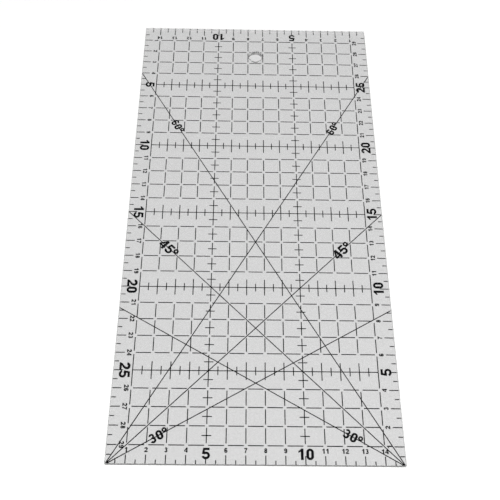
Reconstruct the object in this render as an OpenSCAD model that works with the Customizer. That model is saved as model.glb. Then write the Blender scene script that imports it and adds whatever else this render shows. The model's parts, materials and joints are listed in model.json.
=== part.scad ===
// Patchwork ruler: a clear acrylic sheet with a hang hole and a centimetre grid in black ink.
// The ink is on the underside, against the cloth, and is read through the sheet.
// Origin: middle of the footprint, on the plane that the ink rests on.
// +X runs across the ruler, +Y along it towards the hang hole, and +Z up.

/* [Sheet] */
// Width of the sheet, an odd number of centimetres so that the hole falls between two columns
sheet_w = 150; // [110:20:190]
// Length of the sheet, a multiple of five centimetres
sheet_l = 300; // [250:50:400]
// Thickness of the sheet
sheet_t = 3; // [2:0.5:5]
// Diameter of the hang hole
hole_d = 9; // [5:0.5:9]
// Distance from the far edge to the middle of the hang hole
hole_inset = 25; // [25:10:35]

/* [Ink] */
// Thickness of the ink film
ink_t = 0.03; // [0.02:0.01:0.1]
// Width of every printed line
line_w = 0.5; // [0.2:0.05:0.6]
// Bare margin between the ink and the cut edge
ink_margin = 0.2; // [0.1:0.1:0.5]

/* [Scales] */
// Length of a centimetre tick, from the edge
cm_tick = 5; // [4:0.5:6]
// Length of a half-centimetre tick, from the edge
half_tick = 2.5; // [1.5:0.5:3.5]
// Distance from the edge to the top of the numerals
numeral_top = 8.75; // [8:0.25:9]
// Height of the small numerals
small_numeral = 2.5; // [2:0.1:3]
// Stroke of the small numerals, as a share of their height
small_stroke = 0.265; // [0.2:0.005:0.27]
// Height of the numerals at each fifth centimetre
large_numeral = 5.8; // [4.8:0.2:6]
// Stroke of the large numerals and the angle labels, as a share of their height
large_stroke = 0.24; // [0.2:0.005:0.27]

/* [Grid] */
// Length of the gap where two dashes would meet
dash_gap = 2; // [1:0.5:3]
// Reach of a half-centimetre tick to each side of a five-centimetre line
half_reach = 2.4; // [1.5:0.1:3]

/* [Angles] */
// Height of the 30 and 60 degree labels
angle_label = 5.1; // [4:0.1:5.5]
// Height of the 45 degree labels
diagonal_label = 6.1; // [5:0.1:6.5]
// Distance from the side edges to the middle of the 30 and 60 degree labels
label_inset = 25.75; // [24:0.25:27]
// Distance from the side edges to the middle of the 45 degree labels
diagonal_inset = 25; // [24:0.25:27]

/* [Hidden] */
$fn = 48;

cm = 10;
group = 5;
last_col = sheet_w / cm - 1;
last_row = sheet_l / cm - 1;
line_reach = sheet_w + sheet_l;
acrylic = [0.88, 0.88, 0.88, 0.5];
ink = [0.05, 0.05, 0.06];

// Glyphs are drawn one unit high, with their middle on x = 0 and their foot on y = 0.
// number() sets $stem and $bar, the widths of their upright and level strokes.
glyph_w = 0.66;
glyph_advance = 0.776;
bar_share = 0.87;
degree_d = 0.5;
degree_t = 0.165;
degree_gap = 0.05;

function is_group(n) = n % group == 0;
// A dashed line leaves out the cells on either side of each five-centimetre line.
function is_open(m) = !is_group(m) && !is_group(m + 1);
function small_numbers(last) = [for (n = [1 : last]) if (!is_group(n)) n];
function large_numbers(last) = [for (n = [group : group : last]) n];
function plain_columns() = [for (n = [2 : last_col - 1]) if (!is_group(n)) n];
function tilt(angle) = [cos(angle), sin(angle)];

// ---- Placing ----

// The drawing below this is laid out from the near left corner of the sheet.
module from_corner() {
    translate([-sheet_w / 2, -sheet_l / 2]) children();
}

module printed_area() {
    translate([ink_margin, ink_margin])
        square([sheet_w - 2 * ink_margin, sheet_l - 2 * ink_margin]);
}

// The first child is printed, less what the other children have printed already.
module print_film() {
    color(ink) linear_extrude(ink_t) from_corner() difference() {
        intersection() {
            children(0);
            printed_area();
        }
        if ($children > 1) children([1 : $children - 1]);
    }
}

// Each edge is drawn as if it were the near one, with x along it and y inwards.
module on_near_edge() children();
module on_far_edge() translate([sheet_w, sheet_l]) rotate(180) children();
module on_left_edge() translate([0, sheet_l]) rotate(-90) children();
module on_right_edge() translate([sheet_w, 0]) rotate(90) children();

module other_side() {
    translate([sheet_w, 0]) mirror([1, 0]) children();
}

// ---- Strokes ----

module upright(x, y0, y1) {
    translate([x - line_w / 2, y0]) square([line_w, y1 - y0]);
}

module level(y, x0, x1) {
    translate([x0, y - line_w / 2]) square([x1 - x0, line_w]);
}

module ring(r, t) {
    difference() {
        circle(r);
        circle(r - t);
    }
}

// A round blob, drawn out sideways by this spread each way.
module lozenge(r, spread) {
    for (side = [-1, 1]) translate([side * spread, 0]) circle(r);
    translate([-spread, -r]) square([2 * spread, 2 * r]);
}

module sector(r, from, to) {
    steps = 6;
    polygon(concat([[0, 0]], [for (i = [0 : steps]) r * tilt(from + (to - from) * i / steps)]));
}

module arc_stroke(r, t, from, to) {
    intersection() {
        ring(r, t);
        sector(2 * r, from, to);
    }
}

module wide_stroke(r, t, spread, from, to) {
    intersection() {
        difference() {
            lozenge(r, spread);
            lozenge(r - t, spread);
        }
        sector(2 * r, from, to);
    }
}

module stadium(r, y0, y1) {
    translate([0, y0 + r]) circle(r);
    translate([0, y1 - r]) circle(r);
    translate([-r, y0 + r]) square([2 * r, y1 - y0 - 2 * r]);
}

// ---- Glyphs ----

module zero() {
    r = glyph_w / 2;
    difference() {
        stadium(r, 0, 1);
        stadium(r - $stem, $bar, 1 - $bar);
    }
}

module one() {
    polygon([
        [-0.03, 0], [-0.03 + $stem, 0], [-0.03 + $stem, 1], [0, 1],
        [-0.08, 0.88], [-0.24, 0.78], [-0.24, 0.61], [-0.03, 0.72]
    ]);
}

module two() {
    r = 0.31;
    foot = 0.35;
    translate([0, 1 - r]) wide_stroke(r, $stem, 0.03, -30, 180);
    polygon([
        [0.3, 0.56], [0.22, 0.4], [-0.04, $bar], [foot, $bar], [foot, 0],
        [-foot, 0], [-0.34, 0.1], [-0.25, 0.26], [0.04, 0.5], [0.1, 0.64]
    ]);
}

module three() {
    upper_r = 0.275;
    lower_r = 0.31;
    translate([0, 1 - upper_r]) arc_stroke(upper_r, $bar - 0.02, -90, 162);
    translate([0, lower_r]) arc_stroke(lower_r, $bar, -166, 90);
    translate([-0.1, 0.455]) square([0.11, 0.16]);
}

module four() {
    difference() {
        polygon([
            [0.04, 0], [0.04 + $stem, 0], [0.04 + $stem, 0.2], [0.34, 0.2], [0.34, 0.37], [0.04 + $stem, 0.37],
            [0.04 + $stem, 1], [0.05, 1], [-0.36, 0.38], [-0.36, 0.2], [0.04, 0.2]
        ]);
        polygon([[0.04, 0.37], [0.04, 0.68], [-0.17, 0.37]]);
    }
}

module five() {
    r = 0.33;
    translate([0, r]) wide_stroke(r, $bar, 0.03, -168, 128);
    polygon([
        [-0.24, 1], [0.31, 1], [0.31, 1 - $bar], [-0.08, 1 - $bar],
        [-0.11, 0.61], [-0.08, 0.41], [-0.34, 0.46]
    ]);
}

module six() {
    r = 0.32;
    translate([0, r]) ring(r, $bar);
    translate([0, 1 - r]) arc_stroke(r, $bar, 18, 180);
    translate([-r, r]) square([$bar, 1 - 2 * r]);
}

module seven() {
    half = 0.32;
    polygon([
        [-half, 1], [half, 1], [half, 0.86], [0.18, 0.67], [0.08, 0.44], [0.03, 0.2], [0.02, 0],
        [-0.2, 0], [-0.18, 0.2], [-0.12, 0.43], [-0.02, 0.64], [0.09, 1 - $bar], [-half, 1 - $bar]
    ]);
}

module eight() {
    upper_r = 0.275;
    lower_r = 0.31;
    translate([0, 1 - upper_r]) ring(upper_r, $bar - 0.02);
    translate([0, lower_r]) ring(lower_r, $bar);
}

module nine() {
    translate([0, 1]) rotate(180) six();
}

module digit(n) {
    if (n == 0) zero();
    if (n == 1) one();
    if (n == 2) two();
    if (n == 3) three();
    if (n == 4) four();
    if (n == 5) five();
    if (n == 6) six();
    if (n == 7) seven();
    if (n == 8) eight();
    if (n == 9) nine();
}

module number(n, stroke) {
    $stem = stroke;
    $bar = stroke * bar_share;
    tens = floor(n / 10);
    shift = tens > 0 ? glyph_advance / 2 : 0;
    translate([shift, 0]) digit(n % 10);
    if (tens > 0) translate([-shift, 0]) digit(tens);
}

// A two-digit number and its degree ring, with the middle of the whole on the origin.
module degree_label(n, height) {
    number_x = -(degree_gap + degree_d) / 2;
    ring_x = number_x + (glyph_advance + glyph_w + degree_d) / 2 + degree_gap;
    scale(height) translate([0, -0.5]) {
        translate([number_x, 0]) number(n, large_stroke);
        translate([ring_x, 1 - degree_d / 2]) ring(degree_d / 2, degree_t);
    }
}

// ---- Edge scales ----

// The tick at a single five ends in that numeral's foot.
module edge_ticks(last) {
    for (n = [1 : last]) upright(n * cm, 0, n == group ? numeral_top - large_numeral + line_w / 2 : cm_tick);
    for (n = [0 : last]) upright((n + 0.5) * cm, 0, half_tick);
}

module edge_numerals(numbers, height, stroke) {
    for (n = numbers) translate([n * cm, numeral_top - height]) scale(height) number(n, stroke);
}

module small_edge_numerals(last) {
    edge_numerals(small_numbers(last), small_numeral, small_stroke);
}

module large_edge_numerals(last) {
    edge_numerals(large_numbers(last), large_numeral, large_stroke);
}

// ---- Grid ----

module column_dashes(n) {
    for (m = [1 : last_row - 1])
        if (is_open(m)) upright(n * cm, m * cm + dash_gap / 2, (m + 1) * cm - dash_gap / 2);
}

// The dashes of these columns join up where they pass a five-centimetre line.
module joined_column(n) {
    column_dashes(n);
    for (m = large_numbers(last_row))
        upright(n * cm, (m - 1) * cm + dash_gap / 2, min(m + 1, last_row) * cm - dash_gap / 2);
}

module margin_columns_drawing() {
    joined_column(1);
    joined_column(last_col);
}

module grid_columns_drawing() {
    for (n = plain_columns()) column_dashes(n);
}

module five_cm_columns_drawing() {
    for (n = large_numbers(last_col)) {
        joined_column(n);
        for (m = [1 : last_row - 1]) level((m + 0.5) * cm, n * cm - half_tick, n * cm + half_tick);
    }
}

module grid_rows_drawing() {
    for (m = [1 : last_row])
        if (!is_group(m))
            for (n = [1 : last_col - 1]) level(m * cm, n * cm + dash_gap / 2, (n + 1) * cm - dash_gap / 2);
}

module five_cm_bars_drawing() {
    for (m = large_numbers(last_row)) level(m * cm, cm, last_col * cm);
}

module bar_ticks_drawing() {
    for (m = large_numbers(last_row)) {
        for (n = plain_columns()) upright(n * cm, m * cm - cm_tick, m * cm + cm_tick);
        for (n = [1 : last_col - 1]) upright((n + 0.5) * cm, m * cm - half_reach, m * cm + half_reach);
    }
}

// ---- Angle lines ----

// A cutting line from the near left corner, at this angle to the near edge.
module angle_drawing(angle) {
    rotate(angle) translate([0, -line_w / 2]) square([line_reach, line_w]);
}

module left_lines(angles) {
    for (a = angles) angle_drawing(a);
}

module right_lines(angles) {
    other_side() left_lines(angles);
}

module all_angle_lines() {
    left_lines([30, 45, 60]);
    right_lines([30, 45, 60]);
}

// The label of an angle stands on that angle's line, and its mirror place holds the other one.
module label_pair(angle, height, inset, from_left) {
    along = from_left ? inset : sheet_w - inset;
    spot = along * [1, tan(angle)];
    translate(spot) rotate(angle) degree_label(angle, height);
    translate([sheet_w - spot[0], spot[1]]) rotate(-angle) degree_label(angle, height);
}

// ---- Sub-parts ----

module acrylic_sheet() {
    color(acrylic) translate([0, 0, ink_t]) difference() {
        translate([-sheet_w / 2, -sheet_l / 2]) cube([sheet_w, sheet_l, sheet_t]);
        translate([0, sheet_l / 2 - hole_inset, -1]) cylinder(h = sheet_t + 2, d = hole_d);
    }
}

module near_edge_ticks() print_film() {
    on_near_edge() edge_ticks(last_col);
    all_angle_lines();
}

module far_edge_ticks() print_film() {
    on_far_edge() edge_ticks(last_col);
    all_angle_lines();
}

module left_edge_ticks() print_film() {
    on_left_edge() edge_ticks(last_row);
    all_angle_lines();
}

module right_edge_ticks() print_film() {
    on_right_edge() edge_ticks(last_row);
    all_angle_lines();
}

module near_small_numerals() print_film() {
    on_near_edge() small_edge_numerals(last_col);
    all_angle_lines();
}

module far_small_numerals() print_film() {
    on_far_edge() small_edge_numerals(last_col);
}

module left_small_numerals() print_film() {
    on_left_edge() small_edge_numerals(last_row);
    all_angle_lines();
}

module right_small_numerals() print_film() {
    on_right_edge() small_edge_numerals(last_row);
    all_angle_lines();
}

module near_large_numerals() print_film() {
    on_near_edge() large_edge_numerals(last_col);
    on_near_edge() edge_ticks(last_col);
}

module far_large_numerals() print_film() {
    on_far_edge() large_edge_numerals(last_col);
    on_far_edge() edge_ticks(last_col);
}

module left_large_numerals() print_film() {
    on_left_edge() large_edge_numerals(last_row);
    on_left_edge() edge_ticks(last_row);
    all_angle_lines();
}

module right_large_numerals() print_film() {
    on_right_edge() large_edge_numerals(last_row);
    on_right_edge() edge_ticks(last_row);
    all_angle_lines();
}

module margin_columns() print_film() {
    margin_columns_drawing();
    five_cm_bars_drawing();
    all_angle_lines();
}

module grid_columns() print_film() {
    grid_columns_drawing();
    all_angle_lines();
}

module five_cm_columns() print_film() {
    five_cm_columns_drawing();
    five_cm_bars_drawing();
    all_angle_lines();
}

module grid_rows() print_film() {
    grid_rows_drawing();
    all_angle_lines();
}

module five_cm_bars() print_film() {
    five_cm_bars_drawing();
}

module bar_ticks() print_film() {
    bar_ticks_drawing();
    five_cm_bars_drawing();
    all_angle_lines();
}

module left_30_degree_line() print_film() {
    left_lines([30]);
    left_lines([45]);
    five_cm_bars_drawing();
}

module left_45_degree_line() print_film() {
    left_lines([45]);
    left_lines([60]);
    five_cm_bars_drawing();
}

module left_60_degree_line() print_film() {
    left_lines([60]);
    five_cm_bars_drawing();
}

module right_30_degree_line() print_film() {
    right_lines([30]);
    right_lines([45]);
    left_lines([30, 45, 60]);
    five_cm_bars_drawing();
}

module right_45_degree_line() print_film() {
    right_lines([45]);
    right_lines([60]);
    left_lines([30, 45, 60]);
    five_cm_bars_drawing();
}

module right_60_degree_line() print_film() {
    right_lines([60]);
    left_lines([30, 45, 60]);
    five_cm_bars_drawing();
}

module grid_under_labels() {
    margin_columns_drawing();
    grid_columns_drawing();
    grid_rows_drawing();
    bar_ticks_drawing();
    five_cm_bars_drawing();
}

module thirty_degree_labels() print_film() {
    label_pair(30, angle_label, label_inset, true);
    all_angle_lines();
    grid_under_labels();
}

module forty_five_degree_labels() print_film() {
    label_pair(45, diagonal_label, diagonal_inset, false);
    all_angle_lines();
    grid_under_labels();
}

module sixty_degree_labels() print_film() {
    label_pair(60, angle_label, label_inset, false);
    all_angle_lines();
    grid_under_labels();
}

acrylic_sheet();
near_edge_ticks();
far_edge_ticks();
left_edge_ticks();
right_edge_ticks();
near_small_numerals();
far_small_numerals();
left_small_numerals();
right_small_numerals();
near_large_numerals();
far_large_numerals();
left_large_numerals();
right_large_numerals();
margin_columns();
grid_columns();
five_cm_columns();
grid_rows();
five_cm_bars();
bar_ticks();
left_30_degree_line();
left_45_degree_line();
left_60_degree_line();
right_30_degree_line();
right_45_degree_line();
right_60_degree_line();
thirty_degree_labels();
forty_five_degree_labels();
sixty_degree_labels();
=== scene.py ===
# Quilting ruler: a clear acrylic sheet with a hang hole, printed on its underside with a
# centimetre grid, edge scales and cutting lines at 30, 45 and 60 degrees.
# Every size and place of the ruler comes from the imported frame. Lengths are in metres.
import json
import math

import bmesh
import bpy
from mathutils import Matrix, Quaternion, Vector


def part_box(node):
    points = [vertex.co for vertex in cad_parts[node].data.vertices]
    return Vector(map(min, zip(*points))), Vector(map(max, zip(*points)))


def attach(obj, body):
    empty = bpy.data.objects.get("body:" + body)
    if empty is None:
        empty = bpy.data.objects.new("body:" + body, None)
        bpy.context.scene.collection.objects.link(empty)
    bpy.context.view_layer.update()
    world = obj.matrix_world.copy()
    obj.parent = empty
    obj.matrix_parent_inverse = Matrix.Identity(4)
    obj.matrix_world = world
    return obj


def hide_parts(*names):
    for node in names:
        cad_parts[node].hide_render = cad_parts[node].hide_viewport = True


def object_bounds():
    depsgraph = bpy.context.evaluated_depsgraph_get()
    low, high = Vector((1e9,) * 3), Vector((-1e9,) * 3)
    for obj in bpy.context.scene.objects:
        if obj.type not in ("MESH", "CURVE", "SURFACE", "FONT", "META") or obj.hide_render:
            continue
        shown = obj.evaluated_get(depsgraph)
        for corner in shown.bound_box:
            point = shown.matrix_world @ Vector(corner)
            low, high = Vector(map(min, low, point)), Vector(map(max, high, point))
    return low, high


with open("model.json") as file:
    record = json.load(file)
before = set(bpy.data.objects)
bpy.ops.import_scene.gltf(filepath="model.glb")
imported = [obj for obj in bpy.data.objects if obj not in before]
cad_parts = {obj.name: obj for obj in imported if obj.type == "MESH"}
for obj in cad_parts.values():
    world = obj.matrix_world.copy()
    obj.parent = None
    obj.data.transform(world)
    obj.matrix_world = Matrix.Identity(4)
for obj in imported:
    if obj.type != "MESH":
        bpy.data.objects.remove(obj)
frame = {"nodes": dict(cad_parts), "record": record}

mm = 0.001
cadBox = [list(corner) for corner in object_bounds()]


# sRGB hex to the linear colour that shaders work in
def linearColour(hexCode):
    channels = [int(hexCode[i:i + 2], 16) / 255 for i in (1, 3, 5)]
    linear = [c / 12.92 if c <= 0.04045 else ((c + 0.055) / 1.055) ** 2.4 for c in channels]
    return (*linear, 1.0)


# adds a node, sets its inputs or properties by name, and links other nodes' outputs to it
def addNode(tree, kind, settings=None, links=None):
    node = tree.nodes.new(kind)
    for name, value in (settings or {}).items():
        if isinstance(name, int) or name in node.inputs:
            node.inputs[name].default_value = value
        else:
            setattr(node, name, value)
    for name, source in (links or {}).items():
        tree.links.new(source, node.inputs[name])
    return node


# an empty material with its output node and Object coordinates
def startMaterial(name):
    material = bpy.data.materials.new(name)
    material.use_nodes = True
    tree = material.node_tree
    tree.nodes.clear()
    place = addNode(tree, "ShaderNodeTexCoord")
    return material, tree, place.outputs["Object"]


def finishMaterial(tree, shader):
    addNode(tree, "ShaderNodeOutputMaterial", links={"Surface": shader.outputs[0]})


# a ramp from one value to another over a stretch of a pattern
def addRamp(tree, source, low, high, start, end):
    return addNode(
        tree, "ShaderNodeMapRange",
        {"From Min": low, "From Max": high, "To Min": start, "To Max": end},
        {"Value": source},
    ).outputs["Result"]


# the scale at which Blender's wave texture repeats once in this pitch
def waveScale(pitch):
    return math.tau / 20 / pitch


# ---- materials ----

acrylicLook = {
    "tint": "#fdfdfd",            # a trace of grey, for the eye
    "shade": "#fdfdfd",           # and what each face takes from the light that falls through
    "edgeLight": "#bcbcbc",       # the tint of the light that is let out, a little dimmed
    "edgeShare": 0.3,             # the share of glossy rays that the top face lets out
    "ior": 1.49,                  # PMMA
    "polishedRoughness": 0.02,
    "scratchedRoughness": 0.1,
    "scratchAngles": (25, -50),   # degrees
    "scratchSpacing": 9 * mm,     # hairlines are finer than this draws them, or they wouldn't show
    "scratchLength": 60 * mm,
    "scratchDepth": 0.004 * mm,
    "scratchLevels": (0.68, 0.74),  # only the highest stretch of the noise is a scratch
    "cutRoughness": (0.054, 0.09),
    "sawPitch": 0.7 * mm,         # marks left by the saw and softened by the polishing
    "sawDepth": 0.006 * mm,
    "drilledRoughness": (0.3, 0.45),
    "feedPitch": 0.25 * mm,       # rise of the drill with each turn
    "feedDepth": 0.01 * mm,
}


# the clear plastic itself, with a surface of this roughness and relief
def solidAcrylic(tree, roughness, bump):
    look = acrylicLook
    return addNode(
        tree, "ShaderNodeBsdfPrincipled",
        {"Base Color": linearColour(look["tint"]), "IOR": look["ior"], "Transmission Weight": 1.0},
        {"Roughness": roughness, "Normal": bump.outputs[0]},
    )


# The eye sees bent rays, while the light that falls through the sheet passes straight on. Bent
# lamp light would only reach the table as noise.
def lightThrough(tree, acrylic):
    path = addNode(tree, "ShaderNodeLightPath")
    clear = addNode(
        tree, "ShaderNodeBsdfTransparent", {"Color": linearColour(acrylicLook["shade"])}
    ).outputs[0]
    shader = acrylic
    for kind in ("Is Diffuse Ray", "Is Shadow Ray"):
        shader = addNode(
            tree, "ShaderNodeMixShader",
            links={0: path.outputs[kind], 1: shader.outputs[0], 2: clear},
        )
    return shader


# Cast acrylic faces: glass-clear with a mirror gloss, broken by a few hairlines. The top face can
# let out a share of every glossy ray. Real acrylic doesn't, but without it cut edges render black.
def polishedAcrylic(name, lightComesOut):
    look = acrylicLook
    material, tree, place = startMaterial(name)
    marks = None
    for angle in look["scratchAngles"]:
        lay = addNode(
            tree, "ShaderNodeMapping",
            {"Rotation": (0, 0, math.radians(angle)),
             "Scale": (1 / look["scratchSpacing"], 1 / look["scratchLength"], 1)},
            {"Vector": place},
        )
        noise = addNode(
            tree, "ShaderNodeTexNoise",
            {"Scale": 1.0, "Detail": 6.0, "Roughness": 0.75}, {"Vector": lay.outputs[0]},
        )
        lines = addRamp(tree, noise.outputs[0], *look["scratchLevels"], 0.0, 1.0)
        if marks is None:
            marks = lines
        else:
            marks = addNode(
                tree, "ShaderNodeMath", {"operation": "MAXIMUM"}, {0: marks, 1: lines}
            ).outputs[0]
    roughness = addRamp(tree, marks, 0, 1, look["polishedRoughness"], look["scratchedRoughness"])
    bump = addNode(
        tree, "ShaderNodeBump", {"Strength": 0.3, "Distance": look["scratchDepth"], "invert": True},
        {"Height": marks},
    )
    shader = solidAcrylic(tree, roughness, bump)
    if lightComesOut:
        path = addNode(tree, "ShaderNodeLightPath")
        dimmed = addNode(
            tree, "ShaderNodeBsdfTransparent", {"Color": linearColour(look["edgeLight"])}
        )
        turned = addNode(
            tree, "ShaderNodeMixShader", {0: look["edgeShare"]},
            {1: shader.outputs[0], 2: dimmed.outputs[0]},
        )
        shader = addNode(
            tree, "ShaderNodeMixShader",
            links={0: path.outputs["Is Glossy Ray"], 1: shader.outputs[0], 2: turned.outputs[0]},
        )
    finishMaterial(tree, lightThrough(tree, shader))
    return material


# Cast acrylic where it was sawn: polished after, with a faint trace of the teeth.
def cutAcrylic():
    look = acrylicLook
    material, tree, place = startMaterial("sawnAndPolishedAcrylic")
    flat = addNode(tree, "ShaderNodeMapping", {"Scale": (1, 1, 0.1)}, {"Vector": place})
    teeth = addNode(
        tree, "ShaderNodeTexWave",
        {"bands_direction": "DIAGONAL", "Scale": waveScale(look["sawPitch"]),
         "Distortion": 6.0, "Detail": 3.0, "Detail Scale": 2.0},
        {"Vector": flat.outputs[0]},
    )
    bump = addNode(
        tree, "ShaderNodeBump", {"Strength": 0.5, "Distance": look["sawDepth"]},
        {"Height": teeth.outputs["Fac"]},
    )
    roughness = addRamp(tree, teeth.outputs["Fac"], 0, 1, *look["cutRoughness"])
    shader = solidAcrylic(tree, roughness, bump)
    finishMaterial(tree, lightThrough(tree, shader))
    return material


# Cast acrylic where it was drilled: a frosted wall, with the fine rings that the drill's feed leaves.
def drilledAcrylic():
    look = acrylicLook
    material, tree, place = startMaterial("drilledAcrylic")
    rings = addNode(
        tree, "ShaderNodeTexWave",
        {"bands_direction": "Z", "Scale": waveScale(look["feedPitch"]),
         "Distortion": 1.5, "Detail": 3.0, "Detail Scale": 3.0},
        {"Vector": place},
    )
    bump = addNode(
        tree, "ShaderNodeBump", {"Strength": 0.5, "Distance": look["feedDepth"]},
        {"Height": rings.outputs["Fac"]},
    )
    roughness = addRamp(tree, rings.outputs["Fac"], 0, 1, *look["drilledRoughness"])
    shader = solidAcrylic(tree, roughness, bump)
    finishMaterial(tree, lightThrough(tree, shader))
    return material


inkLook = {
    "thin": "#101012",
    "dense": "#060607",
    "mottle": 0.5 * mm,           # where the screen laid more or less ink
    "peel": 0.12 * mm,            # the fine orange peel of a cured film
    "peelDepth": 0.01 * mm,
    "roughness": (0.34, 0.5),
    "mottleLevels": (0.35, 0.65),
    "peelLevels": (0.3, 0.7),
}


# Screen-printed black ink: a thin satin film, a little uneven in density.
def printedInk():
    look = inkLook
    material, tree, place = startMaterial("screenPrintedInk")
    mottle = addNode(
        tree, "ShaderNodeTexNoise", {"Scale": 1 / look["mottle"], "Detail": 3.0}, {"Vector": place}
    )
    colour = addNode(
        tree, "ShaderNodeMix",
        {"data_type": "RGBA", 6: linearColour(look["thin"]), 7: linearColour(look["dense"])},
        {0: addRamp(tree, mottle.outputs[0], *look["mottleLevels"], 0.0, 1.0)},
    )
    peel = addNode(
        tree, "ShaderNodeTexNoise", {"Scale": 1 / look["peel"], "Detail": 2.0}, {"Vector": place}
    )
    bump = addNode(
        tree, "ShaderNodeBump", {"Strength": 0.2, "Distance": look["peelDepth"]},
        {"Height": peel.outputs[0]},
    )
    shader = addNode(
        tree, "ShaderNodeBsdfPrincipled", {"IOR": 1.5, "Specular IOR Level": 0.1},
        {"Base Color": colour.outputs[2],
         "Roughness": addRamp(tree, peel.outputs[0], *look["peelLevels"], *look["roughness"]),
         "Normal": bump.outputs[0]},
    )
    finishMaterial(tree, shader)
    return material


print("materials")
topMaterial = polishedAcrylic("polishedCastAcrylic", True)
underMaterial = polishedAcrylic("polishedCastAcrylicUnderside", False)
cutMaterial = cutAcrylic()
boreMaterial = drilledAcrylic()
inkMaterial = printedInk()

# ---- acrylic sheet ----

sheetLook = {
    "edgeRound": 0.15 * mm,       # the arris that polishing leaves, inside the ink's bare margin
    "edgeSegments": 3,
    "holeSides": 96,
    "holePatch": 2.0,             # side of the square patch of faces round the hole, in hole diameters
    "inkSink": 0.005 * mm,        # the ink bites this far into the acrylic
}


def acrylicSheet():
    look = sheetLook
    low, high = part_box("acrylic_sheet")
    low.z -= look["inkSink"]
    hole = next(m for m in frame["record"]["mounts"] if m["name"] == "hang_hole")
    radius = hole["dims"]["r_mm"] * mm
    centre = Vector((hole["pos_m"][0], hole["pos_m"][1], low.z))
    half = radius * look["holePatch"]

    # the underside first: a grid of nine faces, the middle one round the hole
    shape = bmesh.new()
    bmesh.ops.create_grid(shape, x_segments=3, y_segments=3, size=1.5)
    lines = [
        [low.x, centre.x - half, centre.x + half, high.x],
        [low.y, centre.y - half, centre.y + half, high.y],
    ]
    for vert in shape.verts:
        column, row = (round(vert.co[i] + 1.5) for i in (0, 1))
        vert.co = (lines[0][column], lines[1][row], low.z)
    patch = min(shape.faces, key=lambda f: (f.calc_center_median() - centre).length)
    square = list(patch.edges)
    bmesh.ops.delete(shape, geom=[patch], context="FACES_ONLY")
    cut = bmesh.ops.subdivide_edges(shape, edges=square, cuts=look["holeSides"] // 4 - 1)
    inside = half + look["edgeRound"]
    square = [
        edge for edge in shape.edges
        if edge.is_boundary and all(
            max(abs(v.co.x - centre.x), abs(v.co.y - centre.y)) < inside for v in edge.verts
        )
    ]
    turn = Matrix.Translation(centre) @ Matrix.Rotation(math.pi / 4, 4, "Z")
    ring = bmesh.ops.create_circle(
        shape, cap_ends=False, segments=look["holeSides"], radius=radius, matrix=turn
    )
    rim = list({edge for vert in ring["verts"] for edge in vert.link_edges})
    bmesh.ops.bridge_loops(shape, edges=square + rim)

    # then the full thickness, and a polished arris along every edge
    lifted = bmesh.ops.extrude_face_region(shape, geom=list(shape.faces))
    top = [v for v in lifted["geom"] if isinstance(v, bmesh.types.BMVert)]
    bmesh.ops.translate(shape, verts=top, vec=(0, 0, high.z - low.z))
    bmesh.ops.recalc_face_normals(shape, faces=list(shape.faces))
    arrises = [e for e in shape.edges if e.calc_face_angle(0) > math.radians(45)]
    bmesh.ops.bevel(
        shape, geom=arrises, offset=look["edgeRound"], offset_type="OFFSET",
        affect="EDGES", segments=look["edgeSegments"], profile=0.5, material=-1,
    )
    for face in shape.faces:
        face.smooth = True
        toHole = (face.calc_center_median() - centre).to_2d().length
        inBore = toHole < radius + look["edgeRound"]
        level = abs(face.normal.z) > 0.999
        face.material_index = (0 if face.normal.z > 0 else 1) if level else 3 if inBore else 2

    mesh = bpy.data.meshes.new("clear_sheet")
    shape.to_mesh(mesh)
    shape.free()
    for material in (topMaterial, underMaterial, cutMaterial, boreMaterial):
        mesh.materials.append(material)
    piece = bpy.data.objects.new("clear_sheet", mesh)
    bpy.context.scene.collection.objects.link(piece)
    flatten = piece.modifiers.new("flatFaces", "WEIGHTED_NORMAL")
    flatten.mode = "FACE_AREA"
    flatten.weight = 100
    return piece


print("acrylic sheet")
clearSheet = acrylicSheet()
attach(clearSheet, "root")
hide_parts("acrylic_sheet")

# ---- ink ----

print("ink")
for name, node in frame["nodes"].items():
    if name != "acrylic_sheet":
        for place in node.material_slots:
            place.material = inkMaterial

# ---- table, light and camera ----

studioLook = {
    "tableColours": ("#f6f6f5", "#f0f0ef"),
    "tableGrain": 1.5 * mm,
    "tableSize": 2.6,
    "tableDrop": 0.03 * mm,       # the table lies this far under the ink
    # painted shade: the grey card is cut to the sheet's outline and darkens the table only under it
    "shadeCardColours": ("#d0d0d0", "#c9c9c9"),
    "cardFibre": 1.2 * mm,        # real fibres are finer than this draws them, or they wouldn't show
    "cardDrop": 0.015 * mm,       # the card lies between the table and the ink
    "grainLevels": (0.35, 0.65),
    "wallGlow": 1.1,              # brightness of the white studio walls
    "flagGlow": 0.08,             # and of the dark flag over the table that the acrylic mirrors
    "flagLean": 28,               # degrees that the flag hangs back from overhead
    "flagEdge": (28, 46),         # degrees from the flag's middle over which it gives way to white
    "boxSize": 1.4,
    "boxPlace": (0.6, -1.2, 1.35),
    "boxPower": 28.0,
}


# A matt surface with a faint grain: white laminate, or the uncoated grey card that lies under the
# clear acrylic and gives it its tone. The card is cut to the sheet's outline, so it is painted shade
# that darkens the table only under the sheet.
def mattSurface(name, colours, grain):
    material, tree, place = startMaterial(name)
    noise = addNode(
        tree, "ShaderNodeTexNoise",
        {"Scale": 1 / grain, "Detail": 4.0, "Roughness": 0.6}, {"Vector": place},
    )
    colour = addNode(
        tree, "ShaderNodeMix",
        {"data_type": "RGBA", 6: linearColour(colours[0]), 7: linearColour(colours[1])},
        {0: addRamp(tree, noise.outputs[0], *studioLook["grainLevels"], 0.0, 1.0)},
    )
    shader = addNode(
        tree, "ShaderNodeBsdfPrincipled", {"Roughness": 0.9, "Specular IOR Level": 0.0},
        {"Base Color": colour.outputs[2]},
    )
    finishMaterial(tree, shader)
    return material


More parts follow.
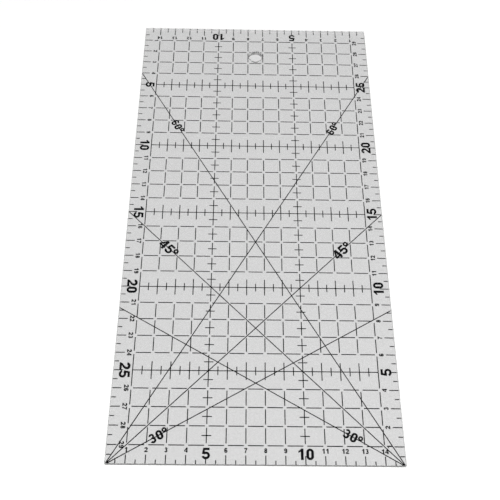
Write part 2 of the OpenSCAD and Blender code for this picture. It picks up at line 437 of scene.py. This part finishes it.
def flatStage(name, material, width, length, height):
    shape = bmesh.new()
    bmesh.ops.create_grid(shape, x_segments=1, y_segments=1, size=0.5)
    bmesh.ops.scale(shape, verts=shape.verts, vec=(width, length, 1))
    bmesh.ops.translate(shape, verts=shape.verts, vec=(0, 0, height))
    mesh = bpy.data.meshes.new(name)
    shape.to_mesh(mesh)
    shape.free()
    mesh.materials.append(material)
    stage = bpy.data.objects.new(name, mesh)
    bpy.context.scene.collection.objects.link(stage)


def tableAndShadeCard():
    look = studioLook
    low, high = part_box("acrylic_sheet")
    foot = cadBox[0][2]
    laminate = mattSurface("mattLaminate", look["tableColours"], look["tableGrain"])
    card = mattSurface("paintedShadeCard", look["shadeCardColours"], look["cardFibre"])
    flatStage("table_top", laminate, look["tableSize"], look["tableSize"], foot - look["tableDrop"])
    # the grey card is painted shade: it is cut to the sheet's outline and laid under it
    flatStage("painted_shade_card", card, high.x - low.x, high.y - low.y, foot - look["cardDrop"])


def studioLight():
    look = studioLook
    world = bpy.data.worlds.new("whiteStudio")
    world.use_nodes = True
    tree = world.node_tree
    tree.nodes.clear()
    place = addNode(tree, "ShaderNodeTexCoord")
    lean = math.radians(look["flagLean"])
    flag = addNode(
        tree, "ShaderNodeVectorMath",
        {"operation": "DOT_PRODUCT", 1: (0, math.sin(lean), math.cos(lean))},
        {0: place.outputs["Generated"]},
    )
    fade = [math.cos(math.radians(angle)) for angle in look["flagEdge"]]
    strength = addRamp(tree, flag.outputs["Value"], *fade, look["flagGlow"], look["wallGlow"])
    strength.node.interpolation_type = "SMOOTHSTEP"
    sky = addNode(tree, "ShaderNodeBackground", {"Color": (1, 1, 1, 1)}, {"Strength": strength})
    addNode(tree, "ShaderNodeOutputWorld", links={"Surface": sky.outputs[0]})
    bpy.context.scene.world = world

    lamp = bpy.data.lights.new("softBox", "AREA")
    lamp.size = look["boxSize"]
    lamp.energy = look["boxPower"]
    softBox = bpy.data.objects.new("softBox", lamp)
    softBox.location = look["boxPlace"]
    softBox.rotation_euler = (-softBox.location).to_track_quat("-Z", "Y").to_euler()
    # a box that the acrylic could mirror would show as a white band along its far edge
    softBox.visible_glossy = softBox.visible_transmission = False
    bpy.context.scene.collection.objects.link(softBox)


viewLook = {
    "eye": (-10.6 * mm, -259.2 * mm, 393.6 * mm),
    "aim": (-3.2 * mm, -24.8 * mm, 0),
    "roll": 2.28,                 # degrees
    "lens": 57.0,                 # millimetres, on a sensor 36 wide
}


def studioCamera():
    look = viewLook
    data = bpy.data.cameras.new("camera")
    data.sensor_width = 36
    data.lens = look["lens"]
    data.clip_start = 0.01
    camera = bpy.data.objects.new("camera", data)
    eye = Vector(look["eye"])
    camera.location = eye
    camera.rotation_mode = "QUATERNION"
    level = (Vector(look["aim"]) - eye).to_track_quat("-Z", "Y")
    camera.rotation_quaternion = level @ Quaternion((0, 0, 1), math.radians(look["roll"]))
    bpy.context.scene.collection.objects.link(camera)
    bpy.context.scene.camera = camera


print("table, light and camera")
tableAndShadeCard()
studioLight()
studioCamera()
bpy.context.scene.view_settings.view_transform = "Standard"
